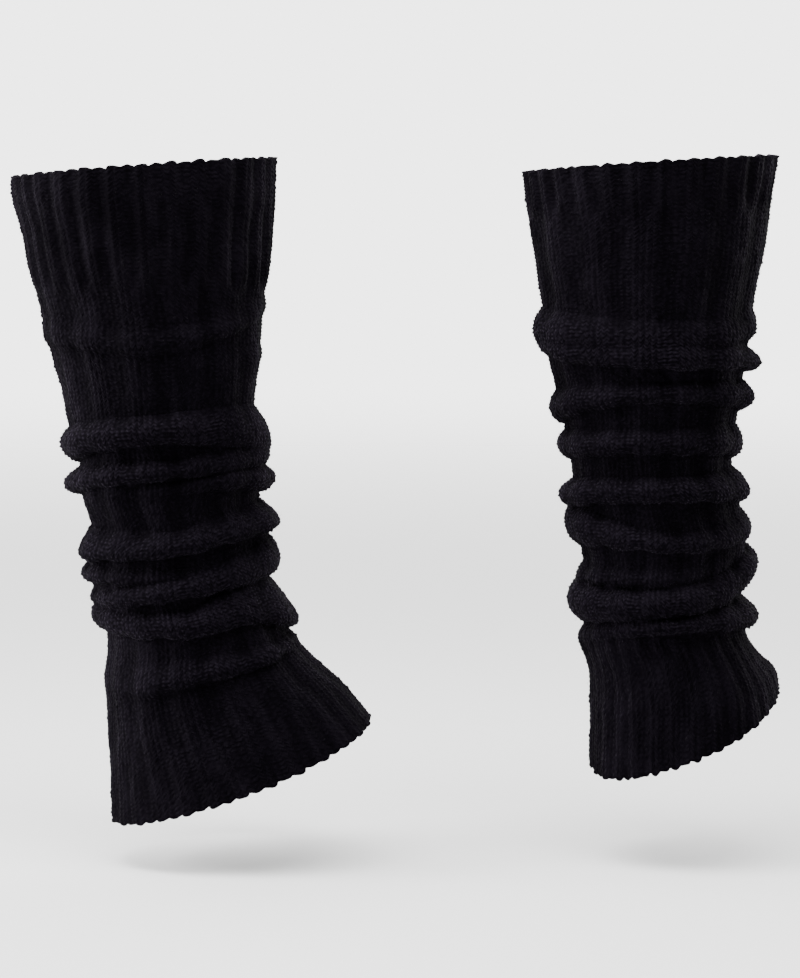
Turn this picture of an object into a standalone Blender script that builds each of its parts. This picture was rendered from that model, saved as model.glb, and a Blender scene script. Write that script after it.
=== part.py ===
"""A pair of ribbed knit leg warmers, in the hollow form that they have when worn.

Each warmer is one knitted tube with three stretches: a finely ribbed cuff at either end and a
widely ribbed leg, pushed down into folds, between them. The two are alike, and one is worn the
other way up, so the left one has its long cuff at the top and the right one has it at the foot.

The toes point to +X and the wearer's calves lie towards -X. The origin is the middle of the
left warmer's upper cuff, where the calf holds it. The tables are in millimetres.
"""

import math
from collections import namedtuple

import bmesh
import bpy
import numpy as np

MM = 0.001

# The knit
FINE_RIBS = 28  # round a cuff
WIDE_RIBS = FINE_RIBS // 2  # round a leg: each runs into two ribs of the cuff
RIB_HEIGHT = 1.1 * MM
WALL = 2.0 * MM  # of the plain knit, under the ribs
SEAM_GAP = 0.3 * MM  # between the stretches of one tube
PAIR_SPACING = 263 * MM  # from the left warmer's axis to the right one's

# The rings of points that the walls are made of
OUTER_POINTS = 2 * FINE_RIBS
INNER_POINTS = FINE_RIBS
CUFF_ROWS = 4
SHOULDER = 0.36  # the row between a crest and a hollow lies this far from the crest

# How a fold rounds over: 1 is a sine wave, more is fuller and less is sharper.
CREST_FULLNESS_ABOVE = 2.0
CREST_FULLNESS_BELOW = 3.0
HOLLOW_FULLNESS = 1.3
HOLLOW_DEPTH = 0.5 * MM  # below the tube's own surface, beside a fold of FULL_FOLD or more
FULL_FOLD = 3 * MM
# Folds closer than MERGED share one mound, and from PARTED on the hollow between them is whole.
MERGED = 10 * MM
PARTED = 20 * MM
SAG = 0.18  # of its reach, for a fold's crest
# The tube is a little uneven round its girth.
UNEVEN = 0.7 * MM
UNEVEN_PITCH = 34 * MM

# A ring of the tube without its folds. The sizes are over the ribs. slant_x and slant_y say
# how much the ring rises towards +X and +Y.
Section = namedtuple("Section", "height centre_x centre_y half_width half_depth slant_x slant_y")

# A fold runs all round. Its crest has a height and a reach beyond the tube at six places, and
# hollow_left and hollow_right say how far down the way to the next crest the hollow below it
# lies.
Fold = namedtuple(
    "Fold",
    "left front_left front front_right right back"
    " out_left out_front_left out_front out_front_right out_right out_back"
    " hollow_left hollow_right",
)
FOLD_PLACES = np.radians([0, 90, 180, 225, 270, 315])

# The seams are where the leg meets the cuffs, and first_hollow says where between the upper one
# and the first crest the first hollow lies.
Warmer = namedtuple("Warmer", "name axis_x sections folds seam_above seam_below first_hollow")

LEFT_SECTIONS = (
    Section(22.7, -1.8, 0, 69.5, 58, 0.05, 0),
    Section(12, -1.7, 0, 69.0, 57.5, 0.048, 0),
    Section(-7, -0.2, 0, 66.2, 56, 0.03, 0),
    Section(-30, 1.3, 0, 62.8, 54, 0.01, 0),
    Section(-50, 2.6, 0, 58.8, 52, 0, 0),
    Section(-84, 5.8, 0, 53.0, 49, 0, 0),
    Section(-105, 6.3, 0, 49.8, 47, 0, 0),
    Section(-134, 10.9, 0, 48.0, 45.5, 0, 0),
    Section(-152, 10.3, 0, 46.3, 45, 0, 0),
    Section(-168, 15.0, 0, 46.5, 45, 0, 0),
    Section(-185, 14.2, 0, 47.8, 45, 0, 0),
    Section(-197, 16.2, 0, 47.0, 45, 0, 0),
    Section(-223, 25.2, 0, 48.0, 46, 0.02, 0.02),
    Section(-237, 26.3, -1, 49.2, 47, 0.22, 0.04),
    Section(-255, 32.4, -2, 55.0, 49, 0.31, 0.08),
    Section(-273, 39.3, -3, 61.2, 51, 0.385, 0.11),
    Section(-296, 48.2, -4, 69.8, 54, 0.365, 0.15),
)

LEFT_FOLDS = (
    Fold(-64, -66, -68, -62, -58, -70, 0.8, 1.6, 2.0, 1.8, 1.6, 1.5, 0.75, 0.70),
    Fold(-123.5, -117, -112, -111.5, -117, -120, 8.4, 7.5, 6.5, 6.0, 6.8, 6.0, 0.60, 0.50),
    Fold(-143.5, -137, -133, -130, -127, -134, 9.4, 6.5, 5.0, 4.0, 5.4, 3.5, 0.60, 0.46),
    Fold(-157, -149, -143, -138, -140, -147, 0.0, 0.5, 1.5, 4.0, 7.4, 6.0, 0.50, 0.46),
    Fold(-178, -175.5, -172, -165, -162, -168, 6.2, 6.5, 6.2, 6.5, 8.4, 7.0, 0.50, 0.70),
    Fold(-191, -190, -189, -181, -172, -180, 4.2, 5.0, 2.0, 0.0, 0.0, 1.0, 0.58, 0.15),
    Fold(-204.5, -201, -195, -188, -184, -191, 4.0, 6.0, 6.5, 6.5, 6.6, 6.0, 0.50, 0.40),
    Fold(-214, -214, -212, -206, -212, -212, 7.0, 7.0, 7.0, 7.0, 9.0, 7.0, 0.45, 0.42),
    Fold(-236, -238, -237, -237, -238, -237, 0.3, 3.5, 5.0, 5.0, 2.5, 3.5, 0.45, 0.45),
)

RIGHT_SECTIONS = (
    Section(24.5, 0.2, 0, 67.2, 58, 0.045, 0),
    Section(2, 0, 0, 64, 56, 0.03, 0),
    Section(-19, 0.2, 0, 61.3, 54.5, 0.01, 0),
    Section(-48, 0.2, 0, 56, 51, 0, 0),
    Section(-75, 0, 0, 52.5, 49, 0, 0),
    Section(-92, 0.8, 0, 48.8, 47, 0, 0),
    Section(-113, 1.2, 0, 45.4, 45, 0, 0),
    Section(-136, 2.0, 0, 42.8, 43.5, 0, 0),
    Section(-156, 5.2, 0, 43.6, 43, 0, 0),
    Section(-173, 8.0, 0, 44.2, 43, 0, 0),
    Section(-184, 8.3, 0, 42.5, 43, 0, 0),
    Section(-201, 7.5, 0, 41.7, 43, 0, 0),
    Section(-219, 10.2, 0, 42.9, 43.5, 0.02, -0.06),
    Section(-227, 10.2, 0, 44.3, 44, 0.05, -0.09),
    Section(-239, 15.5, -1, 45.3, 46, 0.10, -0.02),
    Section(-253, 19.5, -2, 49.0, 48, 0.22, 0.08),
    Section(-274, 21.2, -3, 50.6, 50, 0.43, 0.215),
)

RIGHT_FOLDS = (
    Fold(-62, -62.5, -62, -61, -60, -62, 6.6, 5.0, 4.0, 3.5, 3.6, 4.0, 0.50, 0.60),
    Fold(-69, -73, -75, -76, -79, -75, 5.0, 5.5, 6.0, 6.0, 9.0, 7.0, 0.60, 0.48),
    Fold(-104, -97, -93, -94, -96.5, -98, 6.0, 5.0, 4.5, 5.0, 9.2, 7.0, 0.55, 0.46),
    Fold(-122.5, -120, -118.5, -119.5, -123, -121, 5.8, 5.5, 5.0, 5.0, 6.0, 5.0, 0.58, 0.62),
    Fold(-148, -144.5, -143.5, -144, -145, -145, 9.0, 7.0, 6.5, 7.0, 8.8, 7.0, 0.58, 0.55),
    Fold(-162, -165, -171, -169.5, -165.5, -162, 7.4, 7.0, 5.5, 4.5, 4.0, 6.0, 0.75, 0.60),
    Fold(-193, -190.5, -189, -184, -173, -182, 4.2, 4.0, 2.5, 0.5, 0.0, 1.5, 0.50, 0.15),
    Fold(-204.5, -204, -201, -195, -184, -194, 9.0, 8.0, 6.5, 6.5, 9.2, 7.5, 0.75, 0.58),
    Fold(-223, -219.5, -216.5, -214, -213, -218, 2.0, 4.0, 5.0, 6.0, 9.2, 6.0, 0.55, 0.70),
)

WARMERS = (
    Warmer("left", 0.0, LEFT_SECTIONS, LEFT_FOLDS, -40, -273, 0.5),
    Warmer("right", PAIR_SPACING, RIGHT_SECTIONS, RIGHT_FOLDS, 0, -228, 0.78),
)

YARN_COLOUR = {
    "top_cuff": (0.020, 0.018, 0.022, 1.0),
    "leg": (0.016, 0.014, 0.018, 1.0),
    "bottom_cuff": (0.020, 0.018, 0.022, 1.0),
}


def clear_scene():
    for obj in list(bpy.data.objects):
        bpy.data.objects.remove(obj)


def hermite(start, end, slope_start, slope_end, t):
    """The cubic from start to end with those slopes, at t from 0 to 1."""
    rest = 1 - t
    return (
        start * (1 + 2 * t) * rest**2
        + end * (1 + 2 * rest) * t**2
        + slope_start * t * rest**2
        - slope_end * rest * t**2
    )


def smooth_column(heights, values, at):
    """A smooth curve through a column of a table whose heights fall."""
    heights = np.asarray(heights, float)
    values = np.asarray(values, float)
    slopes = np.gradient(values, heights)
    at = np.clip(at, heights[-1], heights[0])
    row = np.clip(np.searchsorted(-heights, -at, side="right") - 1, 0, len(heights) - 2)
    step = heights[row + 1] - heights[row]
    t = (at - heights[row]) / step
    return hermite(
        values[row], values[row + 1], slopes[row] * step, slopes[row + 1] * step, t
    )


def round_the_ring(theta, right, back, left, front_left, front, front_right):
    """A smooth closed curve round the ring with these values at FOLD_PLACES."""
    turn = 2 * math.pi
    places = np.concatenate([FOLD_PLACES - turn, FOLD_PLACES, FOLD_PLACES + turn])
    values = np.tile([right, back, left, front_left, front, front_right], 3)
    slopes = np.gradient(values, places)
    row = np.clip(np.searchsorted(places, theta, side="right") - 1, 0, len(places) - 2)
    step = places[row + 1] - places[row]
    t = (theta - places[row]) / step
    return hermite(
        values[row], values[row + 1], slopes[row] * step, slopes[row + 1] * step, t
    )


def unevenness(theta, height):
    return UNEVEN * (
        np.sin(3 * theta + height / UNEVEN_PITCH)
        + 0.6 * np.sin(5 * theta - 1.7 * height / UNEVEN_PITCH)
    )


def tube_point(warmer, theta, height, reach):
    """The point of the tube at that height and way round, or of a fold that reaches out from there."""
    columns = np.array(warmer.sections, float).T
    columns[:5] *= MM
    centre_x, centre_y, half_width, half_depth, slant_x, slant_y = (
        smooth_column(columns[0], column, height) for column in columns[1:]
    )
    out = reach + unevenness(theta, height) - RIB_HEIGHT
    across = (half_width + out) * np.cos(theta)
    deep = (half_depth + out) * np.sin(theta)
    return np.stack(
        [
            warmer.axis_x + centre_x + across,
            centre_y + deep,
            height + slant_x * across + slant_y * deep - SAG * reach,
        ],
        axis=-1,
    )


def leg_bends(warmer, theta):
    """The leg's bends, crests and hollows in turn, from the seam above to the seam below.

    Each is its height and reach round the ring and how full it is above and below.
    """
    flat = np.zeros_like(theta)
    crests = [(warmer.seam_above * MM - SEAM_GAP / 2 + flat, flat, warmer.first_hollow + flat)]
    for fold in warmer.folds:
        height = MM * round_the_ring(
            theta,
            fold.right,
            fold.back,
            fold.left,
            fold.front_left,
            fold.front,
            fold.front_right,
        )
        out = round_the_ring(
            theta,
            fold.out_right,
            fold.out_back,
            fold.out_left,
            fold.out_front_left,
            fold.out_front,
            fold.out_front_right,
        )
        rightward = (1 + np.cos(theta)) / 2
        hollow = fold.hollow_left + (fold.hollow_right - fold.hollow_left) * rightward
        crests.append((height, np.maximum(out, 0) * MM, hollow))
    crests.append((warmer.seam_below * MM + SEAM_GAP / 2 + flat, flat, flat))
    bends = [(*crests[0][:2], 1.0, 1.0)]
    for (height, out, hollow), (next_height, next_out, _) in zip(crests, crests[1:]):
        spacing = height - next_height
        shared = np.clip((PARTED - spacing) / (PARTED - MERGED), 0, 1)
        shared = shared**2 * (3 - 2 * shared)
        depth = HOLLOW_DEPTH * np.minimum(np.maximum(out, next_out) / FULL_FOLD, 1)
        reach = shared * np.minimum(out, next_out) - (1 - shared) * depth
        bends.append((height - hollow * spacing, reach, HOLLOW_FULLNESS, HOLLOW_FULLNESS))
        bends.append((next_height, next_out, CREST_FULLNESS_ABOVE, CREST_FULLNESS_BELOW))
    bends[-1] = (*crests[-1][:2], 1.0, 1.0)
    return bends


def leg_levels(warmer):
    """The rows of the leg's wall: its seams, every crest and hollow, and a shoulder between each two."""
    levels = [0.0, 1.0]
    for crest in range(2, 2 * len(warmer.folds) + 1, 2):
        levels += [crest - SHOULDER, crest, crest + SHOULDER, crest + 1]
    return levels + [2 * len(warmer.folds) + 2]


def cuff_bends(top, bottom):
    """The same for a plain cuff: its two edges."""
    return [(top, 0.0, 1.0, 1.0), (bottom, 0.0, 1.0, 1.0)]


def form_points(warmer, bends, theta, level):
    """The points of the smooth form under the ribs at each way round, level bends down from the top."""
    number = min(int(level), len(bends) - 2)
    t = level - number
    height, out, _, full_below = bends[number]
    next_height, next_out, full_above, _ = bends[number + 1]
    step = next_height - height
    here = hermite(height, next_height, full_below * step, full_above * step, t)
    reach = hermite(out, next_out, 0, 0, t)
    return tube_point(warmer, theta, here, reach)


def surface(warmer, bends_of, theta, levels):
    """The form's points and its outward directions, a row for each level."""
    small = 1e-3
    last = max(levels)
    bends = bends_of(theta)
    ahead = bends_of(theta + small)
    behind = bends_of(theta - small)
    points = []
    normals = []
    for level in levels:
        points.append(form_points(warmer, bends, theta, level))
        along = form_points(warmer, ahead, theta + small, level) - form_points(
            warmer, behind, theta - small, level
        )
        down = form_points(warmer, bends, theta, min(level + small, last)) - form_points(
            warmer, bends, theta, max(level - small, 0)
        )
        normal = np.cross(down, along)
        normals.append(normal / np.linalg.norm(normal, axis=1, keepdims=True))
    return np.array(points), np.array(normals)


def rib_relief(theta, ribs):
    """How far each outer point stands up: a fine rib is one point wide and a wide one is two."""
    phase = (theta * ribs / (2 * math.pi)) % 1.0
    return RIB_HEIGHT * (phase < 0.49)


def ring_angles(count):
    return np.arange(count) * 2 * math.pi / count


def knitted_wall(name, warmer, bends_of, levels, ribs):
    """A closed wall: ribbed outer points over a plain inside, joined at both edges."""
    outer_angles = ring_angles(OUTER_POINTS)
    outer, outward = surface(warmer, bends_of, outer_angles, levels)
    outer = outer + outward * rib_relief(outer_angles, ribs)[None, :, None]
    inner, inner_outward = surface(warmer, bends_of, ring_angles(INNER_POINTS), levels)
    inner = inner - inner_outward * WALL
    mesh_builder = bmesh.new()
    outer_rings = [[mesh_builder.verts.new(p) for p in row] for row in outer]
    inner_rings = [[mesh_builder.verts.new(p) for p in row] for row in inner]
    for rings, turned in ((outer_rings, False), (inner_rings, True)):
        for upper, lower in zip(rings, rings[1:]):
            count = len(upper)
            for i in range(count):
                j = (i + 1) % count
                corners = [upper[i], lower[i], lower[j], upper[j]]
                mesh_builder.faces.new(corners[::-1] if turned else corners)
    for outer_ring, inner_ring, turned in (
        (outer_rings[0], inner_rings[0], False),
        (outer_rings[-1], inner_rings[-1], True),
    ):
        for i in range(INNER_POINTS):
            j = (i + 1) % INNER_POINTS
            first, middle, last = (
                outer_ring[2 * i],
                outer_ring[2 * i + 1],
                outer_ring[(2 * i + 2) % OUTER_POINTS],
            )
            for corners in (
                [first, middle, inner_ring[i]],
                [inner_ring[i], middle, inner_ring[j]],
                [middle, last, inner_ring[j]],
            ):
                mesh_builder.faces.new(corners[::-1] if turned else corners)
    bmesh.ops.triangulate(mesh_builder, faces=mesh_builder.faces)
    mesh = bpy.data.meshes.new(name)
    mesh_builder.to_mesh(mesh)
    mesh_builder.free()
    mesh.shade_smooth()
    return bpy.data.objects.new(name, mesh)


def yarn_material(name, colour):
    material = bpy.data.materials.new(name)
    material.use_nodes = True
    shader = material.node_tree.nodes["Principled BSDF"]
    shader.inputs["Base Color"].default_value = colour
    shader.inputs["Roughness"].default_value = 0.95
    shader.inputs["Metallic"].default_value = 0.0
    shader.inputs["Sheen Weight"].default_value = 0.3
    return material


def even_levels(first, last, rows):
    return [first + (last - first) * i / rows for i in range(rows + 1)]


def build_warmer(warmer, collection):
    top = warmer.sections[0].height * MM
    hem = warmer.sections[-1].height * MM
    above = warmer.seam_above * MM
    below = warmer.seam_below * MM
    stretches = (
        (
            "top_cuff",
            lambda theta: cuff_bends(top, above + SEAM_GAP / 2),
            even_levels(0, 1, CUFF_ROWS),
            FINE_RIBS,
        ),
        (
            "leg",
            lambda theta: leg_bends(warmer, theta),
            leg_levels(warmer),
            WIDE_RIBS,
        ),
        (
            "bottom_cuff",
            lambda theta: cuff_bends(below - SEAM_GAP / 2, hem),
            even_levels(0, 1, CUFF_ROWS),
            FINE_RIBS,
        ),
    )
    for stretch, bends_of, levels, ribs in stretches:
        name = f"{warmer.name}_{stretch}"
        wall = knitted_wall(name, warmer, bends_of, levels, ribs)
        wall.data.materials.append(yarn_material(f"yarn_{name}", YARN_COLOUR[stretch]))
        collection.objects.link(wall)


def main():
    clear_scene()
    collection = bpy.data.collections.new("leg_warmers")
    bpy.context.scene.collection.children.link(collection)
    for warmer in WARMERS:
        build_warmer(warmer, collection)


main()
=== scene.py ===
"""The pair of ribbed knit leg warmers, dressed: stitches, ribs, folds, nap and yarn material."""

import math
from collections import namedtuple

import bpy
import numpy as np
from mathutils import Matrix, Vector


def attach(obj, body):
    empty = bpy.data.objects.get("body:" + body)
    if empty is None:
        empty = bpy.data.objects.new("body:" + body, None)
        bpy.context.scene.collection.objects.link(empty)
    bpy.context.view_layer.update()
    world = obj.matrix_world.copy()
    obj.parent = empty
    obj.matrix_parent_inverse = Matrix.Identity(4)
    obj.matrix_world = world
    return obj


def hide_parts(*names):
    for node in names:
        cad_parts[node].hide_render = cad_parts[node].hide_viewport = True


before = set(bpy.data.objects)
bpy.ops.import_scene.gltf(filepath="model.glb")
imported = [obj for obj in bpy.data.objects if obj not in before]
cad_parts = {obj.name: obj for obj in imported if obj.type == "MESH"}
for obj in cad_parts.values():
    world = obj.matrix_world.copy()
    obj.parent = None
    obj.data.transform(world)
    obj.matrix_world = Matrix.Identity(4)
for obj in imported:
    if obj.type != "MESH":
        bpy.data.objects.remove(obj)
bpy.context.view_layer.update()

MM = 0.001

# The knit: wales run up the tube and courses run round it.
FINE_RIBS = 28  # round a cuff, two wales up and two down
WIDE_RIBS = FINE_RIBS // 2  # round a leg, four up and four down
WALES = 4 * FINE_RIBS
COURSE = 2.0 * MM
COLUMNS_PER_WALE = 3
ROWS_PER_COURSE = 2
INNER_STEP = 6  # rows of the outside to a row of the inside
WALL = 1.6 * MM  # behind a rib, in from the cloth's own form
INNER_FURROW = 0.4  # of the rib's height, by which the inside lies deeper behind a furrow
RIB_HEIGHT = 1.1 * MM  # the tables' sizes are over the ribs of that height
TOP_RIB = 1.7 * MM
LEG_RIB = 1.2 * MM
BOTTOM_RIB = 0.6 * MM
RIB_STEEPNESS = 1.6
RIB_FULLNESS = 0.35  # how much more of each turn a rib takes than the groove beside it
RIB_MIDDLE = 0.30  # of the rib's height, level with the cloth's own form
# Courses over which a cuff's ribs turn into the leg's, and how far that has gone at the seam.
TOP_BLEND = (4, 0.5)
BOTTOM_BLEND = (9, 0.2)
RIB_ON_FOLD = 0.45  # how much of the rib is left on a full fold
WALES_PER_SCALLOP = 2  # along a rim
SCALLOP = 1.3 * MM
SCALLOP_LEVEL = 0.6  # of its height, on the rim's own line
RIB_SCALLOP = 0.4 * MM  # by which ribs stand past the furrows at a rim
RIM_COURSES = 4  # that a rim's scallops reach
SETTLED = 1.5  # courses in from a rim, for a whole stitch
RIM_TURN = 0.9  # how far a rim's edge rolls over towards its end
PAIR_SPACING = 263 * MM

# A stitch's arms are a V: how many courses each point of it stands off the middle of its course.
ARM_BETWEEN_WALES = 0.50
ARM_IN_WALE = -0.17
PURL_ARM = 0.35  # of a plain stitch's
# A stitch's height on its strands and between wales, in mm, and what each course's ridge adds.
Stitch = namedtuple("Stitch", "strand strand_ridge between between_ridge")
PLAIN = Stitch(0.13, 0.24, -0.32, 0.10)
PURL = Stitch(0.06, 0.17, -0.12, -0.15)
STITCH_VARIES = 0.25  # from one to the next
STITCH_ON_FOLD = 0.4  # by which a full fold's stitches are higher
LOOP_HEIGHT = 0.09 * MM  # by which single loops stand proud

# Uneven fields: their size, how many waves make them up, the most turns of one round the tube,
# its shortest pitch along it, and what is added to the warmer's seed.
Waves = namedtuple("Waves", "size count turns pitch seed")
RIM_WAVES = Waves(0.5, 6, 40, 1.0, 0)
SIDEWAYS_WAVES = Waves(0.8 * MM, 8, 4, 60 * MM, 1)
RIB_WAVES = Waves(0.18, 8, 6, 50 * MM, 3)
YARN_WAVES = Waves(0.35 * MM, 12, 14, 24 * MM, 4)
LOOPS_SEED = 2
KNIT_SEEDS = (100, 200)
NAP_SEEDS = (55, 56)

CREASE = 0.7 * MM  # how softly a fold meets the tube or the next fold
SAG = 0.18  # of its reach, for a fold's crest
# How a fold rounds over: 0.5 is an ellipse, 1 a parabola, and more runs out softly.
ROUND_ABOVE = 0.9
ROUND_BELOW = 0.6
GENTLE_ROUND = 1.6  # of a slight fold, both ways
SLIGHT_FOLD = 1.5 * MM
FULL_FOLD = 6 * MM
GENTLE_RANGE = 4  # mm of reach under a full fold's, over which folds turn gentle
CREST_WANDER = 1.6  # mm, behind
REACH_VARIES = 0.06
SIDE_SHARE = 1.5  # how soon a fold takes its side's spread, going round
LEAST_REACH = 3  # mm below the tube, where a fold's flank ends
LEVEL_STEP = 0.4 * MM
LEVELS_BEYOND = 5  # by which the tube is carried on past each edge
UNEVEN = 0.7 * MM
UNEVEN_PITCH = 34 * MM

# The nap: loose fibres, in mm.
FIBRES = 11000  # on each warmer
FIBRE_LENGTH = (1.2, 3.2)
FIBRE_RADIUS = (0.025, 0.05)
FIBRE_LIFT = (0.15, 0.75)  # the sine of its angle off the cloth
FIBRE_BEND = (0.02, 0.2)  # of its length
FIBRE_ROOT = 0.15 * MM  # below the surface
FIBRE_TAPER = 0.8  # of its radius, at its middle
FIBRE_DARK = (0.0015, 0.0011, 0.0021, 1)
FIBRE_LIGHT = (0.0030, 0.0023, 0.0039, 1)

# Each yarn's lightest colour, how much painted shade lies between its loops, and how much painted
# shade lies in its rib grooves.
Yarn = namedtuple("Yarn", "name light lumpiness ribbing")
CUFF_YARN = Yarn("cuff_yarn", (0.0052, 0.0042, 0.0064, 1), lumpiness=0.28, ribbing=0.10)
LEG_YARN = Yarn("leg_yarn", (0.0050, 0.0040, 0.0062, 1), lumpiness=0.6, ribbing=0.16)
YARN_DARK = (0.0009, 0.0007, 0.0012, 1)
YARN_SHEEN = 0.035

# The yarn's pattern. Each part of it adds its share to the tone, and some to the bump as well.
# The arms' and lumps' shares of the tone are painted shade between the loops, and the fold's share
# is painted light on the folds.
LUMPS = 1.0  # to a wale and to a course
LUMP_EDGE = (0.12, 0.62)
ARMS_SLOPE = 0.9  # courses that a stitch's arms would climb over a wale
STREAK_SCALE = (0.55, 0.06, 1)  # to a wale and to a course
STREAKS = 0.85  # of light and dark yarn along the wales
STREAKS_ON_FOLD = 0.4  # what is left of them
ARMS_TONE = 0.22
ARMS_ON_FOLD = 0.4
TUFTS_TONE = 0.75
FIBRES_TONE = 0.2
SPECKLE_FLAT = 0.42
SPECKLE_ON_FOLD = 0.7
PATCHES_TONE = 0.7
# Painted light: the folds lighter than the flat tube, as they face up into the light.
FOLD_PAINTED_LIGHT = 0.25
BASE_TONE = 0.27
TONE_RANGE = (0.12, 0.95)
SHEEN_RANGE = (0.0, 0.9)
LUMP_BUMP = 0.8
ARMS_BUMP = 0.2
TUFTS_BUMP = 0.9
FIBRES_BUMP = 0.35
BUMP_STRENGTH = 0.6
BUMP_DEPTH = 0.7 * MM

# The studio
Softbox = namedtuple("Softbox", "name place aim size power")
SOFTBOXES = (
    Softbox("top", (0.07, -0.26, 0.62), (0.13, 0, -0.15), (1.0, 0.4), 23.5),
    Softbox("left", (-1.85, -0.2, 0.45), (0.05, 0, -0.1), (0.9, 1.2), 98),
    Softbox("right", (2.0, 0.8, 0.25), (0.2, 0, -0.15), (1.0, 1.6), 45),
)
WORLD_STRENGTH = 4.0
CAMERA_SIDE = 0.06  # of the backdrop's strength, towards the camera
BRIGHT_SIDE = (-0.45, 0.9, 0)
BRIGHT_RANGE = (-0.6, 0.8)  # from the dim side to the bright one, along BRIGHT_SIDE
FLOOR_PLACE = (0.132, 0, -0.345)
FLOOR_REACH = 6
FLOOR_FADE = (0.6, 3.5)  # m from its middle
FLOOR_COLOR = (0.66, 0.66, 0.66, 1)
CAMERA_PLACE = (0.13244, -1.6, 0.0235)
CAMERA_TILT = math.radians(6.1)
FOCAL_PIXELS = 3040
IMAGE_HEIGHT = 978
SENSOR = 36.0

Section = namedtuple("Section", "height centre_x centre_y half_width half_depth slant_x slant_y")
# A fold of the pushed-down leg. Its crest's height and its reach out are given at six places
# round the ring: left, front left, front, front right, right and back. How far it spreads above
# and below its crest is given at the left, the front and the right.
Fold = namedtuple("Fold", "crest reach above below")
FOLD_PLACES = np.radians([0, 90, 180, 225, 270, 315])  # right, back, left and on round
Warmer = namedtuple("Warmer", "name axis_x sections folds seam_above seam_below")

LEFT_SECTIONS = (
    Section(21.4, -1.8, 0, 69.3, 58, 0.074, -0.03),
    Section(12, -1.7, 0, 69.0, 57.5, 0.048, 0),
    Section(-7, -0.2, 0, 66.2, 56, 0.03, 0),
    Section(-30, 1.3, 0, 62.8, 54, 0.01, 0),
    Section(-50, 2.6, 0, 58.8, 52, 0, 0),
    Section(-84, 5.8, 0, 53.0, 49, 0, 0),
    Section(-105, 6.3, 0, 49.8, 47, 0, 0),
    Section(-134, 10.9, 0, 48.0, 45.5, 0, 0),
    Section(-152, 10.3, 0, 46.3, 45, 0, 0),
    Section(-168, 15.0, 0, 46.5, 45, 0, 0),
    Section(-185, 14.2, 0, 47.8, 45, 0, 0),
    Section(-197, 16.2, 0, 47.0, 45, 0, 0),
    Section(-223, 25.2, 0, 48.0, 46, 0.02, 0.02),
    Section(-237, 26.3, -1, 49.2, 47, 0.22, 0.04),
    Section(-255, 32.4, -2, 55.0, 49, 0.31, 0.08),
    Section(-273, 39.3, -3, 61.2, 51, 0.385, 0.11),
    Section(-295, 48.2, -4, 69.6, 54, 0.372, 0.15),
)

LEFT_FOLDS = (
    Fold((-66, -66, -68, -60, -51, -70), (1.8, 2.8, 3.0, 2.6, 1.6, 1.5), (11, 8, 7), (7, 6, 5)),
    Fold(
        (-123.5, -117, -112, -111.5, -117, -120),
        (8.4, 7.5, 6.5, 6.0, 6.8, 6.0),
        (8.5, 7, 13.5),
        (9, 7.5, 13),
    ),
    Fold(
        (-142.5, -137, -133, -130, -127, -134),
        (9.4, 6.5, 5.0, 4.0, 5.4, 3.5),
        (7, 5, 10),
        (6.5, 5, 7),
    ),
    Fold(
        (-157, -149, -143, -138, -140, -147),
        (0.0, 0.5, 1.5, 4.0, 7.4, 6.0),
        (5, 4, 6),
        (6, 5, 7.5),
    ),
    Fold(
        (-178, -175.5, -172, -165, -162, -168),
        (6.2, 6.5, 6.2, 6.5, 8.4, 7.0),
        (12, 7, 9),
        (5.5, 6, 6),
    ),
    Fold(
        (-191, -190, -189, -181, -172, -180),
        (4.2, 5.0, 2.0, 0.0, 0.0, 1.0),
        (5, 5, 5),
        (4.5, 4.5, 4.5),
    ),
    Fold(
        (-204.5, -201, -195, -188, -184, -191),
        (4.0, 6.0, 6.5, 6.5, 6.6, 6.0),
        (5, 6, 12),
        (6.5, 5.5, 8),
    ),
    Fold(
        (-214, -214, -212, -206, -212, -212),
        (7.0, 7.0, 7.0, 7.0, 9.0, 7.0),
        (8, 6, 18),
        (6.5, 7, 8),
    ),
    Fold(
        (-236, -238, -237, -237, -238, -237),
        (1.1, 3.0, 4.6, 5.4, 1.9, 3.5),
        (9, 8, 9),
        (8, 5, 7),
    ),
    Fold((-82, -80, -80, -78, -75, -76), (0.5, 0.3, 0.3, 0.6, 1.2, 0.6), (8, 8, 5), (8, 8, 10)),
)

RIGHT_SECTIONS = (
    Section(23.4, 0.2, 0, 67.0, 58, 0.062, -0.03),
    Section(2, 0, 0, 64, 56, 0.03, 0),
    Section(-19, 0.2, 0, 61.3, 54.5, 0.01, 0),
    Section(-48, 0.2, 0, 56, 51, 0, 0),
    Section(-75, 0, 0, 52.5, 49, 0, 0),
    Section(-92, 0.8, 0, 48.8, 47, 0, 0),
    Section(-113, 1.2, 0, 45.4, 45, 0, 0),
    Section(-136, 2.0, 0, 42.8, 43.5, 0, 0),
    Section(-156, 5.2, 0, 43.6, 43, 0, 0),
    Section(-173, 8.0, 0, 44.2, 43, 0, 0),
    Section(-184, 8.3, 0, 42.5, 43, 0, 0),
    Section(-201, 7.5, 0, 41.7, 43, 0, 0),
    Section(-219, 10.2, 0, 42.9, 43.5, 0.02, -0.06),
    Section(-227, 10.2, 0, 44.3, 44, 0.05, -0.09),
    Section(-239, 15.5, -1, 45.3, 46, 0.10, -0.02),
    Section(-253, 19.5, -2, 49.0, 48, 0.22, 0.08),
    Section(-273.7, 21.2, -3, 50.8, 50, 0.422, 0.215),
)

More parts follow.
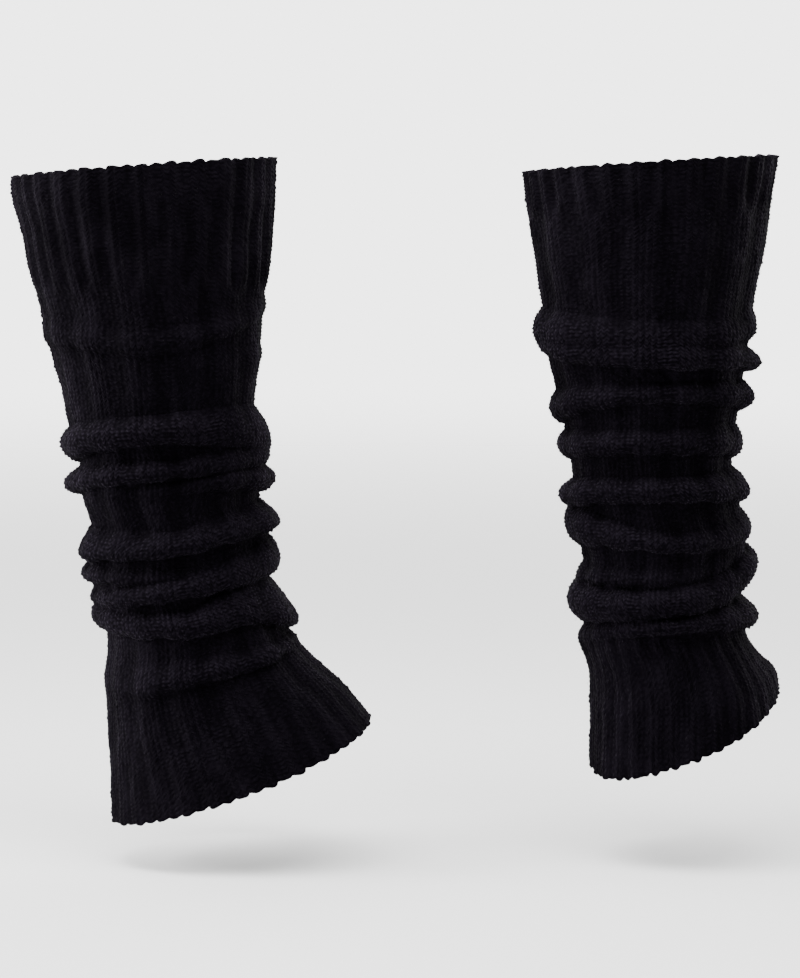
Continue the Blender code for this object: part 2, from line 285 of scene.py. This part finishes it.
RIGHT_FOLDS = (
    Fold((-62, -64, -66, -64, -60, -62), (6.8, 5.2, 4.6, 4.0, 3.6, 4.0), (11, 10, 8), (10, 12, 6)),
    Fold((-68, -73, -75, -76, -79, -75), (5.0, 5.5, 6.0, 6.0, 9.0, 7.0), (8, 13, 6), (7, 5.5, 5)),
    Fold((-104, -97, -93, -94, -97, -98), (6.0, 5.0, 4.5, 5.0, 9.2, 7.0), (9, 5, 7), (8, 5, 7.5)),
    Fold(
        (-122.5, -120, -118.5, -119.5, -123, -121),
        (5.8, 5.5, 5.0, 5.0, 6.0, 5.0),
        (7, 6, 10.5),
        (8, 6.5, 7),
    ),
    Fold(
        (-148, -144.5, -143.5, -144, -145, -145),
        (9.0, 7.0, 6.5, 7.0, 7.8, 7.0),
        (6, 6, 9.5),
        (8.5, 6, 7),
    ),
    Fold(
        (-162, -165, -171, -169.5, -165.5, -162),
        (7.4, 7.0, 5.5, 4.5, 4.0, 6.0),
        (9.5, 5, 8),
        (13, 5, 6.5),
    ),
    Fold(
        (-193, -190.5, -189, -184, -173, -182),
        (4.2, 4.0, 2.5, 0.5, 0.0, 1.5),
        (6, 5, 6),
        (4.5, 4.5, 4.5),
    ),
    Fold(
        (-204.5, -204, -201, -195, -184, -194),
        (9.0, 7.6, 6.0, 6.2, 8.6, 7.5),
        (10, 6, 7),
        (12, 10, 12),
    ),
    Fold(
        (-223, -219.5, -216.5, -214, -213, -218),
        (2.0, 4.0, 5.0, 6.0, 9.2, 6.0),
        (6, 6, 10),
        (6, 5, 8),
    ),
)

WARMERS = (
    Warmer("left", 0.0, LEFT_SECTIONS, LEFT_FOLDS, -40, -273),
    Warmer("right", PAIR_SPACING, RIGHT_SECTIONS, RIGHT_FOLDS, 0, -228),
)


def smooth_curve(places, values, row, at):
    """The smooth curve through the values at those places, between the row's and the next."""
    slopes = np.gradient(values, places)
    step = places[row + 1] - places[row]
    t = (at - places[row]) / step
    rest = 1 - t
    return (
        values[row] * (1 + 2 * t) * rest**2
        + values[row + 1] * (1 + 2 * rest) * t**2
        + slopes[row] * step * t * rest**2
        - slopes[row + 1] * step * rest * t**2
    )


def down_the_table(heights, values, at):
    """A smooth curve through a column of a table whose heights fall."""
    at = np.clip(at, heights[-1], heights[0])
    row = np.clip(np.searchsorted(-heights, -at, side="right") - 1, 0, len(heights) - 2)
    return smooth_curve(heights, values, row, at)


def round_the_ring(theta, ring):
    """A smooth closed curve round the tube through the six values of a fold's ring."""
    turn = 2 * math.pi
    places = np.concatenate([FOLD_PLACES - turn, FOLD_PLACES, FOLD_PLACES + turn])
    values = np.tile(np.roll(ring, 2), 3)
    row = np.clip(np.searchsorted(places, theta, side="right") - 1, 0, len(places) - 2)
    return smooth_curve(places, values, row, theta)


def unevenness(theta, height):
    return UNEVEN * (
        np.sin(3 * theta + height / UNEVEN_PITCH)
        + 0.6 * np.sin(5 * theta - 1.7 * height / UNEVEN_PITCH)
    )


def tube_point(warmer, theta, height, reach):
    """The tube's point at that height and way round, or that of a fold that reaches out there."""
    columns = np.array(warmer.sections, float).T
    columns[:5] *= MM
    centre_x, centre_y, half_width, half_depth, slant_x, slant_y = (
        down_the_table(columns[0], column, height) for column in columns[1:]
    )
    out = reach + unevenness(theta, height) - RIB_HEIGHT
    across = (half_width + out) * np.cos(theta)
    deep = (half_depth + out) * np.sin(theta)
    return np.stack(
        [
            warmer.axis_x + centre_x + across,
            centre_y + deep,
            height + slant_x * across + slant_y * deep - SAG * reach,
        ],
        axis=-1,
    )


def softer_max(a, b):
    """The greater of the two, with the crease between them softened."""
    near = np.maximum(CREASE - np.abs(a - b), 0) / CREASE
    return np.maximum(a, b) + near**2 * CREASE / 4


def side_to_side(theta, spread):
    """A value round the tube from those at its left, its front and its right."""
    left, front, right = spread
    leftward = np.maximum(-np.cos(theta), 0) ** SIDE_SHARE
    rightward = np.maximum(np.cos(theta), 0) ** SIDE_SHARE
    return front + (left - front) * leftward + (right - front) * rightward


def fold_reach(warmer, theta, height):
    """How far the folds reach beyond the tube at each height and way round."""
    reach = np.zeros(height.shape)
    behind = np.maximum(np.sin(theta), 0)
    for number, fold in enumerate(warmer.folds):
        # Behind and in its reach, each fold is uneven in a way of its own.
        crest = round_the_ring(theta, fold.crest)
        crest = crest + CREST_WANDER * behind * np.sin(4 * theta + 1.3 * number)
        out = np.maximum(round_the_ring(theta, fold.reach), 0)
        out = out * (1 + REACH_VARIES * np.sin(5 * theta + 2.1 * number))
        above = side_to_side(theta, fold.above)
        below = side_to_side(theta, fold.below)
        away = height / MM - crest
        spread = np.where(away > 0, away / above, -away / below)
        gentle = np.clip((FULL_FOLD / MM - out) / GENTLE_RANGE, 0, 1)
        roundness = np.where(away > 0, ROUND_ABOVE, ROUND_BELOW)
        roundness = roundness + (GENTLE_ROUND - roundness) * gentle
        swell = np.maximum(1 - spread**2, 0) ** roundness
        swell = np.where(spread < 1, swell, LEAST_REACH * (1 - spread))
        reach = softer_max(reach, np.maximum(out * swell, -LEAST_REACH) * MM)
    return reach


def dense_columns(warmer, theta):
    """The form's points down each column of theta, how far each is on a fold, and the rows of
    its stretches' ends. The tube is carried on past each edge, for the scalloped rims.
    """
    stops = [
        warmer.sections[0].height * MM,
        warmer.seam_above * MM,
        warmer.seam_below * MM,
        warmer.sections[-1].height * MM,
    ]
    levels = []
    marks = [0]
    for start, end in zip(stops, stops[1:]):
        count = int(round((start - end) / LEVEL_STEP))
        levels += [start + (end - start) * i / count for i in range(count)]
        marks.append(len(levels))
    levels.append(stops[-1])
    height = np.repeat(np.array(levels)[:, None], len(theta), axis=1)
    reach = fold_reach(warmer, theta, height)
    points = tube_point(warmer, theta, height, reach)
    beyond_top = points[0] + LEVELS_BEYOND * (points[0] - points[1])
    beyond_hem = points[-1] + LEVELS_BEYOND * (points[-1] - points[-2])
    dense = np.concatenate([[beyond_top], points, [beyond_hem]])
    folded = np.clip((reach - SLIGHT_FOLD) / (FULL_FOLD - SLIGHT_FOLD), 0, 1)
    folded = np.concatenate([folded[:1], folded, folded[-1:]])
    return dense, folded, [mark + 1 for mark in marks]


def waves(kind, seed, theta, height):
    """A smooth uneven field round and along the tube, about kind.size at its highest."""
    rng = np.random.default_rng(seed + kind.seed)
    total = np.zeros(np.broadcast(theta, height).shape)
    for _ in range(kind.count):
        turns = rng.integers(0, kind.turns + 1)
        rate = rng.uniform(-1, 1) * 2 * math.pi / kind.pitch
        total = total + np.sin(turns * theta + rate * height + rng.uniform(0, 2 * math.pi))
    return kind.size * total / math.sqrt(kind.count)


def rib_wave(phase):
    """1 on a raised rib, in the first half of each turn of phase, and 0 in the groove after it."""
    wave = np.tanh(RIB_STEEPNESS * (np.sin(2 * math.pi * phase) + RIB_FULLNESS))
    lowest = math.tanh(RIB_STEEPNESS * (RIB_FULLNESS - 1))
    highest = math.tanh(RIB_STEEPNESS * (RIB_FULLNESS + 1))
    return (wave - lowest) / (highest - lowest)


def grid_normals(grid):
    """The outward direction at each point of a grid of rows down the tube, each row closed."""
    along = np.roll(grid, -1, axis=1) - np.roll(grid, 1, axis=1)
    down = np.gradient(grid, axis=0)
    normal = np.cross(down, along)
    return normal / np.maximum(np.linalg.norm(normal, axis=2, keepdims=True), 1e-12)


def blend(courses, width, at_seam):
    return np.clip(courses / width + at_seam, 0, 1)


def stitch_height(stitch, strand, ridge):
    on_strand = stitch.strand + stitch.strand_ridge * ridge
    between = stitch.between + stitch.between_ridge * ridge
    return (strand * on_strand + (1 - strand) * between) * MM


def down_the_columns(wanted, arc, values):
    """What the values say at the wanted lengths down each column of the form."""
    columns = range(wanted.shape[1])
    return np.stack([np.interp(wanted[:, c], arc[:, c], values[:, c]) for c in columns], axis=1)


class Knit:
    """One warmer's knit: a grid of ROWS_PER_COURSE to a course and COLUMNS_PER_WALE to a wale."""

    def __init__(self, warmer, seed):
        self.seed = seed
        columns = WALES * COLUMNS_PER_WALE
        self.theta = np.arange(columns) * 2 * math.pi / columns
        dense, folded, marks = dense_columns(warmer, self.theta)
        lengths = np.linalg.norm(np.diff(dense, axis=0), axis=2)
        arc = np.concatenate([np.zeros((1, columns)), np.cumsum(lengths, axis=0)])
        self.courses = [
            int(round(float(np.mean(arc[end] - arc[start])) / COURSE))
            for start, end in zip(marks, marks[1:])
        ]
        self.edges = np.concatenate([[0], np.cumsum(self.courses)])
        self.total = int(self.edges[-1])
        self.row_edges = [int(edge) * ROWS_PER_COURSE for edge in self.edges]
        self.course = np.arange(self.total * ROWS_PER_COURSE + 1) / ROWS_PER_COURSE
        self.wale = np.arange(columns) / COLUMNS_PER_WALE
        self.between_wales = (np.arange(columns) % COLUMNS_PER_WALE == 0)[None, :]
        under_top = blend(self.course - self.edges[1], *TOP_BLEND)
        over_bottom = blend(self.edges[2] - self.course, *BOTTOM_BLEND)
        self.in_leg = (under_top * over_bottom)[:, None]
        self.fine = rib_wave(self.wale * FINE_RIBS / WALES)[None, :]
        wide = rib_wave(self.wale * WIDE_RIBS / WALES)[None, :]
        self.raised = self.fine * (1 - self.in_leg) + wide * self.in_leg

        wanted = self.lengths_down(arc, marks)
        self.on_fold = down_the_columns(wanted, arc, folded)
        axes = [down_the_columns(wanted, arc, dense[:, :, axis]) for axis in range(3)]
        form = np.stack(axes, axis=-1)
        self.height = form[:, :, 2]
        normal = grid_normals(form)
        side = np.roll(form, -1, axis=1) - np.roll(form, 1, axis=1)
        side /= np.linalg.norm(side, axis=2, keepdims=True)
        form = form + side * self.waves(SIDEWAYS_WAVES)[..., None]
        rib = self.rib_height()
        self.outside = form + normal * self.relief(rib)[..., None]
        depth = WALL + (1 - self.raised) * INNER_FURROW * rib
        self.inside = form - normal * depth[..., None]
        self.normals = grid_normals(self.outside)
        for rim, within in ((0, 2), (-1, -3)):
            outward = self.outside[rim] - self.outside[within]
            outward /= np.linalg.norm(outward, axis=1, keepdims=True)
            self.normals[rim] += RIM_TURN * outward
            self.normals[rim] /= np.linalg.norm(self.normals[rim], axis=1, keepdims=True)
        self.inner_normals = -grid_normals(self.inside)

    def waves(self, kind):
        return waves(kind, self.seed, self.theta, self.height)

    def courses_down(self):
        """How many courses down each point lies, after its stitch's V and the rims' scallops."""
        course = self.course[:, None]
        arm = np.where(self.between_wales, ARM_BETWEEN_WALES, ARM_IN_WALE)
        rise = self.raised * arm - (1 - self.raised) * PURL_ARM * arm
        inside = np.minimum(self.course, self.total - self.course)[:, None]
        settled = np.clip(inside / SETTLED, 0, 1)
        scallop = np.abs(np.sin(math.pi * self.wale / WALES_PER_SCALLOP))[None, :]
        uneven = waves(RIM_WAVES, self.seed, self.theta[None, :], 0.0)
        scallop = (scallop - SCALLOP_LEVEL) * (1 + uneven) * SCALLOP
        scallop = (scallop + (self.fine - 0.5) * RIB_SCALLOP) / COURSE
        near_top = np.clip(1 - course / RIM_COURSES, 0, 1)
        near_hem = np.clip(1 - (self.total - course) / RIM_COURSES, 0, 1)
        return course - rise * settled - scallop * near_top + scallop * near_hem

    def lengths_down(self, arc, marks):
        """How far down its column of the form each point lies."""
        at = self.courses_down()
        wanted = np.empty(at.shape)
        for c in range(at.shape[1]):
            known = [arc[mark, c] for mark in marks]
            wanted[:, c] = np.interp(at[:, c], self.edges, known)
            first = (known[1] - known[0]) / self.courses[0]
            last = (known[3] - known[2]) / self.courses[2]
            wanted[:, c] += np.minimum(at[:, c], 0) * first
            wanted[:, c] += np.maximum(at[:, c] - self.total, 0) * last
        return wanted

    def rib_height(self):
        above = (self.course < (self.edges[1] + self.edges[2]) / 2)[:, None]
        rib = np.where(above, TOP_RIB, BOTTOM_RIB) * (1 - self.in_leg)
        rib = rib + LEG_RIB * self.in_leg * (1 - (1 - RIB_ON_FOLD) * self.on_fold)
        return rib * (1 + self.waves(RIB_WAVES))

    def relief(self, rib):
        """How far each point stands off the form: its rib, its stitch and the uneven yarn."""
        ridge = np.cos(2 * math.pi * self.course)[:, None]
        strand = np.where(self.between_wales, 0.0, 1.0)
        rng = np.random.default_rng(self.seed + LOOPS_SEED)
        loops = rng.normal(0, 1, (self.total + 2, WALES))
        loops = loops[np.floor(self.course).astype(int)][:, np.floor(self.wale).astype(int)]
        stitch = self.raised * stitch_height(PLAIN, strand, ridge)
        stitch = stitch + (1 - self.raised) * stitch_height(PURL, strand, ridge)
        stitch = stitch * (1 + STITCH_ON_FOLD * self.on_fold) * (1 + STITCH_VARIES * loops)
        relief = (self.raised - RIB_MIDDLE) * rib + stitch + LOOP_HEIGHT * loops
        return relief + self.waves(YARN_WAVES)


def linked(name, data):
    obj = bpy.data.objects.new(name, data)
    bpy.context.scene.collection.objects.link(obj)
    return obj


def strips(upper, lower, turned):
    """Quads between two closed rings of point numbers."""
    quads = np.stack([upper, lower, np.roll(lower, -1), np.roll(upper, -1)], axis=1)
    return quads[:, ::-1] if turned else quads


def edge_fans(outer, inner, turned):
    """Triangles across the wall's edge, from the outside's ring of points to the inside's."""
    edge = outer.reshape(-1, COLUMNS_PER_WALE)
    after = np.roll(edge[:, 0], -1)
    inner_after = np.roll(inner, -1)
    fans = [
        np.stack([edge[:, 0], edge[:, 1], inner], axis=1),
        np.stack([edge[:, 1], edge[:, 2], inner], axis=1),
        np.stack([edge[:, 2], inner_after, inner], axis=1),
        np.stack([edge[:, 2], after, inner_after], axis=1),
    ]
    return [fan[:, ::-1] if turned else fan for fan in fans]


def mesh_of(name, points, quads, tris):
    """The mesh, and which point each of its corners is at."""
    mesh = bpy.data.meshes.new(name)
    mesh.vertices.add(len(points))
    mesh.vertices.foreach_set("co", points.astype(np.float32).ravel())
    corners = np.concatenate([quads.ravel(), tris.ravel()])
    sizes = np.concatenate([np.full(len(quads), 4), np.full(len(tris), 3)])
    starts = np.concatenate([[0], np.cumsum(sizes)[:-1]])
    mesh.loops.add(len(corners))
    mesh.loops.foreach_set("vertex_index", corners.astype(np.int32))
    mesh.polygons.add(len(sizes))
    mesh.polygons.foreach_set("loop_start", starts.astype(np.int32))
    mesh.polygons.foreach_set("loop_total", sizes.astype(np.int32))
    return mesh, corners, sizes


def lay_uv(mesh, wales, courses, sizes):
    """Wales and courses as the mesh's UVs. A face that closes a ring runs on past its end."""
    owner = np.repeat(np.arange(len(sizes)), sizes)
    high = np.zeros(len(sizes))
    np.maximum.at(high, owner, wales)
    wales = np.where((high[owner] > WALES - 1.5) & (wales < 1.5), wales + WALES, wales)
    uv = mesh.uv_layers.new(name="knit")
    uv.data.foreach_set("uv", np.stack([wales, courses], axis=1).astype(np.float32).ravel())


def knit_mesh(name, knit, first, last):
    """A closed wall from row first to row last of the knit, with UVs that count its stitches."""
    inner_rows = list(range(first, last, INNER_STEP)) + [last]

    def outside(grid):
        return grid[first : last + 1]

    def inside(grid):
        return grid[inner_rows][:, ::COLUMNS_PER_WALE]

    rows, columns = outside(knit.raised).shape
    outer_id = np.arange(rows * columns).reshape(rows, columns)
    inner_id = rows * columns + np.arange(len(inner_rows) * WALES).reshape(-1, WALES)
    points = np.concatenate(
        [outside(knit.outside).reshape(-1, 3), inside(knit.inside).reshape(-1, 3)]
    )
    quads = [strips(outer_id[i], outer_id[i + 1], False) for i in range(rows - 1)]
    quads += [strips(inner_id[i], inner_id[i + 1], True) for i in range(len(inner_id) - 1)]
    tris = edge_fans(outer_id[0], inner_id[0], False)
    tris += edge_fans(outer_id[-1], inner_id[-1], True)
    mesh, corners, sizes = mesh_of(name, points, np.concatenate(quads), np.concatenate(tris))
    wales = [np.tile(knit.wale, rows), np.tile(np.arange(WALES), len(inner_rows))]
    courses = [np.repeat(outside(knit.course), columns), np.repeat(knit.course[inner_rows], WALES)]
    lay_uv(mesh, np.concatenate(wales)[corners], np.concatenate(courses)[corners], sizes)
    for label, outer, inner in (
        ("raised", knit.raised, 1 - knit.raised),
        ("on_fold", knit.on_fold, knit.on_fold),
    ):
        values = np.concatenate([outside(outer).ravel(), inside(inner).ravel()])
        attribute = mesh.attributes.new(label, "FLOAT", "POINT")
        attribute.data.foreach_set("value", values.astype(np.float32))
    mesh.update(calc_edges=True)
    mesh.validate()
    mesh.shade_smooth()
    normals = [outside(knit.normals).reshape(-1, 3), inside(knit.inner_normals).reshape(-1, 3)]
    normals = np.concatenate(normals).astype(np.float32)
    mesh.normals_split_custom_set_from_vertices(normals)
    return linked(name, mesh)


def needles(name, roots, directions, bends, radii):
    """Thin fibres in one mesh: each a three-sided needle with a bend at its middle."""
    # Up, or sideways for a fibre that itself goes nearly up.
    helper = np.where(np.abs(directions[:, 2:3]) < 0.8, [[0, 0, 1]], [[1, 0, 0]])
    side = np.cross(directions, helper)
    side /= np.linalg.norm(side, axis=1, keepdims=True)
    up = np.cross(directions, side)
    up /= np.linalg.norm(up, axis=1, keepdims=True)
    middle = roots + directions * 0.5 + bends
    n = 3
    points = np.empty((len(roots), 2 * n + 1, 3))
    for k in range(n):
        angle = 2 * math.pi * k / n
        ring = (side * math.cos(angle) + up * math.sin(angle)) * radii[:, None]
        points[:, k] = roots + ring
        points[:, n + k] = middle + ring * FIBRE_TAPER
    points[:, 2 * n] = roots + directions
    faces = [(2, 1, 0)]
    for k in range(n):
        j = (k + 1) % n
        faces += [(k, j, n + j), (k, n + j, n + k), (n + k, n + j, 2 * n)]
    first = (2 * n + 1) * np.arange(len(roots))
    faces = (np.array(faces)[None] + first[:, None, None]).reshape(-1, 3)
    mesh = bpy.data.meshes.new(name)
    mesh.from_pydata(points.reshape(-1, 3).tolist(), [], faces.tolist())
    mesh.shade_smooth()
    return linked(name, mesh)


def nap(knit, name, seed):
    """The loose fibres that stand off the yarn all over the outside."""
    rng = np.random.default_rng(seed)
    rows, columns = knit.outside.shape[:2]
    row = rng.integers(2, rows - 2, FIBRES)
    column = rng.integers(0, columns, FIBRES)
    normal = knit.normals[row, column]
    spread = rng.normal(0, 1, (FIBRES, 3))
    spread -= normal * np.sum(spread * normal, axis=1, keepdims=True)
    spread /= np.linalg.norm(spread, axis=1, keepdims=True)
    lift = rng.uniform(*FIBRE_LIFT, (FIBRES, 1))
    length = rng.uniform(*FIBRE_LENGTH, (FIBRES, 1)) * MM
    direction = (spread * np.sqrt(1 - lift**2) + normal * lift) * length
    bend = normal * length * rng.uniform(*FIBRE_BEND, (FIBRES, 1))
    roots = knit.outside[row, column] - normal * FIBRE_ROOT
    radii = rng.uniform(*FIBRE_RADIUS, FIBRES) * MM
    return needles(name, roots, direction, bend, radii)


def fill(node, values):
    for name, value in values.items():
        node.inputs[name].default_value = value


def new_material(name, values):
    """A material whose shader has those values, with its node tree and its shader."""
    material = bpy.data.materials.new(name)
    material.use_nodes = True
    shader = material.node_tree.nodes["Principled BSDF"]
    fill(shader, values)
    return material, material.node_tree, shader


def add_node(tree, kind, values=None):
    node = tree.nodes.new("ShaderNode" + kind)
    fill(node, values or {})
    return node


def smooth_step(tree, value, ends, results=(0.0, 1.0)):
    """The first of the results below the first of the ends, and smoothly on to the second."""
    node = add_node(tree, "MapRange", {"From Min": ends[0], "From Max": ends[1]})
    fill(node, {"To Min": results[0], "To Max": results[1]})
    node.interpolation_type = "SMOOTHSTEP"
    tree.links.new(value, node.inputs["Value"])
    return node.outputs["Result"]


def color_ramp(tree, value, dark, light, ends=(0.0, 1.0)):
    node = add_node(tree, "ValToRGB")
    for element, color, end in zip(node.color_ramp.elements, (dark, light), ends):
        element.color = color
        element.position = end
    tree.links.new(value, node.inputs[0])
    return node.outputs[0]


def yarn_material(yarn):
    """Brushed yarn: lumps of stitches from the UVs, with painted shade between them, under a soft
    uneven nap.
    """
    material, tree, shader = new_material(
        yarn.name,
        {
            "Roughness": 0.92,
            "Specular IOR Level": 0.03,
            "Specular Tint": (0.9, 0.72, 1, 1),
            "Sheen Roughness": 0.35,
            "Sheen Tint": (0.88, 0.72, 1.0, 1),
        },
    )
    links = tree.links

    def calculate(operation, *values):
        node = add_node(tree, "Math")
        node.operation = operation
        for target, value in zip(node.inputs, values):
            if isinstance(value, (int, float)):
                target.default_value = value
            else:
                links.new(value, target)
        return node.outputs[0]

    def add(a, b):
        return calculate("ADD", a, b)

    def less(a, b):
        return calculate("SUBTRACT", a, b)

    def times(a, b):
        return calculate("MULTIPLY", a, b)

    def noise(place, scale, detail, roughness):
        values = {"Scale": scale, "Detail": detail, "Roughness": roughness}
        node = add_node(tree, "TexNoise", values)
        links.new(place, node.inputs["Vector"])
        return less(node.outputs["Fac"], 0.5)

    def point_value(name):
        node = add_node(tree, "Attribute")
        node.attribute_name = name
        return node.outputs["Fac"]

    uv = add_node(tree, "UVMap")
    uv.uv_map = "knit"
    stitches = uv.outputs[0]
    parts = add_node(tree, "SeparateXYZ")
    links.new(stitches, parts.inputs[0])
    wale, course = parts.outputs[0], parts.outputs[1]
    raised = point_value("raised")
    on_fold = point_value("on_fold")

    # One lump for each loop of yarn, none quite in its place.
    cells = add_node(tree, "TexVoronoi")
    cells.voronoi_dimensions = "2D"
    cells.feature = "SMOOTH_F1"
    fill(cells, {"Scale": LUMPS, "Smoothness": 0.35, "Randomness": 0.75})
    links.new(stitches, cells.inputs["Vector"])
    lump = less(1.0, smooth_step(tree, cells.outputs["Distance"], LUMP_EDGE))
    across = calculate("ABSOLUTE", less(calculate("FRACT", wale), 0.5))
    slope = times(times(less(0.5, across), ARMS_SLOPE), raised)
    arms = calculate("COSINE", times(less(course, slope), 2 * math.pi))
    arms = add(times(arms, 0.5), 0.5)
    place = add_node(tree, "TexCoord").outputs["Object"]
    fibres = noise(place, 1500, 2, 0.6)
    tufts = noise(place, 430, 2, 0.55)
    patches = noise(place, 38, 2, 0.5)
    drawn = add_node(tree, "VectorMath")
    drawn.operation = "MULTIPLY"
    drawn.inputs[1].default_value = STREAK_SCALE
    links.new(stitches, drawn.inputs[0])
    streaks = noise(drawn.outputs[0], 1.0, 2, 0.6)

    height = add(times(lump, LUMP_BUMP), times(arms, ARMS_BUMP))
    height = add(height, add(times(tufts, TUFTS_BUMP), times(fibres, FIBRES_BUMP)))
    bump = add_node(tree, "Bump", {"Strength": BUMP_STRENGTH, "Distance": BUMP_DEPTH})
    links.new(height, bump.inputs["Height"])
    links.new(bump.outputs[0], shader.inputs["Normal"])

    # The arms' and lumps' shares are painted shade between the loops: lighter on each loop's top,
    # darker in the gaps, and stronger on the folds. The tufts and fibres are the yarn's own uneven
    # tone.
    speckle_and_gap_shade = times(less(arms, 0.5), add(ARMS_TONE, times(on_fold, ARMS_ON_FOLD)))
    speckle_and_gap_shade = add(speckle_and_gap_shade, times(less(lump, 0.5), yarn.lumpiness))
    speckle_and_gap_shade = add(speckle_and_gap_shade, times(tufts, TUFTS_TONE))
    speckle_and_gap_shade = add(speckle_and_gap_shade, times(fibres, FIBRES_TONE))
    tone = times(speckle_and_gap_shade, add(SPECKLE_FLAT, times(on_fold, SPECKLE_ON_FOLD)))
    # Painted shade in the rib grooves, and painted light on the raised ribs.
    tone = add(tone, times(less(raised, 0.5), yarn.ribbing))
    tone = add(tone, times(patches, PATCHES_TONE))
    lost = (1 - STREAKS_ON_FOLD) * STREAKS
    tone = add(tone, times(streaks, less(STREAKS, times(on_fold, lost))))
    # Painted light on the folds, which face up into the light.
    tone = add(tone, times(on_fold, FOLD_PAINTED_LIGHT))
    tone = add(tone, BASE_TONE)
    color = color_ramp(tree, tone, YARN_DARK, yarn.light, TONE_RANGE)
    links.new(color, shader.inputs["Base Color"])
    # The sheen weight follows the tone, so the painted light and shade raise and lower it too.
    sheen = times(smooth_step(tree, tone, SHEEN_RANGE), YARN_SHEEN)
    links.new(sheen, shader.inputs["Sheen Weight"])
    return material


def fibre_material():
    values = {"Roughness": 0.7, "Sheen Weight": 0.02, "Specular IOR Level": 0.03}
    material, tree, shader = new_material("nap_fibres", values)
    place = add_node(tree, "TexCoord")
    noise = add_node(tree, "TexNoise", {"Scale": 300})
    tree.links.new(place.outputs["Object"], noise.inputs["Vector"])
    color = color_ramp(tree, noise.outputs["Fac"], FIBRE_DARK, FIBRE_LIGHT)
    tree.links.new(color, shader.inputs["Base Color"])
    return material


def floor():
    """A pale floor that fades into the backdrop all round."""
    far = FLOOR_REACH
    mesh = bpy.data.meshes.new("floor")
    points = [(-far, -far, 0), (far, -far, 0), (far, far, 0), (-far, far, 0)]
    mesh.from_pydata(points, [], [(0, 1, 2, 3)])
    obj = linked("floor", mesh)
    obj.location = FLOOR_PLACE
    values = {"Base Color": FLOOR_COLOR, "Roughness": 0.9}
    material, tree, shader = new_material("floor", values)
    place = add_node(tree, "TexCoord")
    length = add_node(tree, "VectorMath")
    length.operation = "LENGTH"
    tree.links.new(place.outputs["Object"], length.inputs[0])
    fade = smooth_step(tree, length.outputs["Value"], FLOOR_FADE, (1.0, 0.0))
    tree.links.new(fade, shader.inputs["Alpha"])
    mesh.materials.append(material)


def backdrop():
    """Bright behind and to the left, and dim towards the camera."""
    world = bpy.data.worlds.new("studio")
    world.use_nodes = True
    tree = world.node_tree
    background = tree.nodes["Background"]
    background.inputs["Strength"].default_value = WORLD_STRENGTH
    bpy.context.scene.world = world
    direction = add_node(tree, "TexCoord")
    towards_bright = add_node(tree, "VectorMath")
    towards_bright.operation = "DOT_PRODUCT"
    towards_bright.inputs[1].default_value = BRIGHT_SIDE
    tree.links.new(direction.outputs["Generated"], towards_bright.inputs[0])
    value = towards_bright.outputs["Value"]
    spread = smooth_step(tree, value, BRIGHT_RANGE, (CAMERA_SIDE, 1.0))
    tree.links.new(spread, background.inputs["Color"])


def light(box):
    data = bpy.data.lights.new(box.name, "AREA")
    data.shape = "RECTANGLE"
    data.size, data.size_y = box.size
    data.energy = box.power
    obj = linked(box.name, data)
    obj.location = box.place
    aim = Vector(box.aim) - Vector(box.place)
    obj.rotation_euler = aim.to_track_quat("-Z", "Y").to_euler()


def set_camera():
    camera = linked("camera", bpy.data.cameras.new("camera"))
    camera.location = CAMERA_PLACE
    camera.rotation_euler = (math.pi / 2 - CAMERA_TILT, 0, 0)
    camera.data.sensor_width = SENSOR
    camera.data.lens = SENSOR * FOCAL_PIXELS / IMAGE_HEIGHT
    bpy.context.scene.camera = camera


cuff_yarn = yarn_material(CUFF_YARN)
leg_yarn = yarn_material(LEG_YARN)
fibre_yarn = fibre_material()
stretches = (
    ("top_cuff", "rib_knit_cuff", cuff_yarn),
    ("leg", "rib_knit_leg", leg_yarn),
    ("bottom_cuff", "rib_knit_cuff", cuff_yarn),
)

for warmer, knit_seed, nap_seed in zip(WARMERS, KNIT_SEEDS, NAP_SEEDS):
    knit = Knit(warmer, knit_seed)
    fuzz = nap(knit, f"{warmer.name}_nap", nap_seed)
    fuzz.data.materials.append(fibre_yarn)
    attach(fuzz, "root")
    for index, (stretch, slot, yarn) in enumerate(stretches):
        node = f"{warmer.name}_{stretch}"
        first, last = knit.row_edges[index : index + 2]
        piece = knit_mesh(f"{node}_knit", knit, first, last)
        piece.data.materials.append(yarn)
        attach(piece, "root")
        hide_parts(node)

floor()
backdrop()
for softbox in SOFTBOXES:
    light(softbox)
set_camera()


def corners(box):
    return [[float(x) for x in corner] for corner in box]
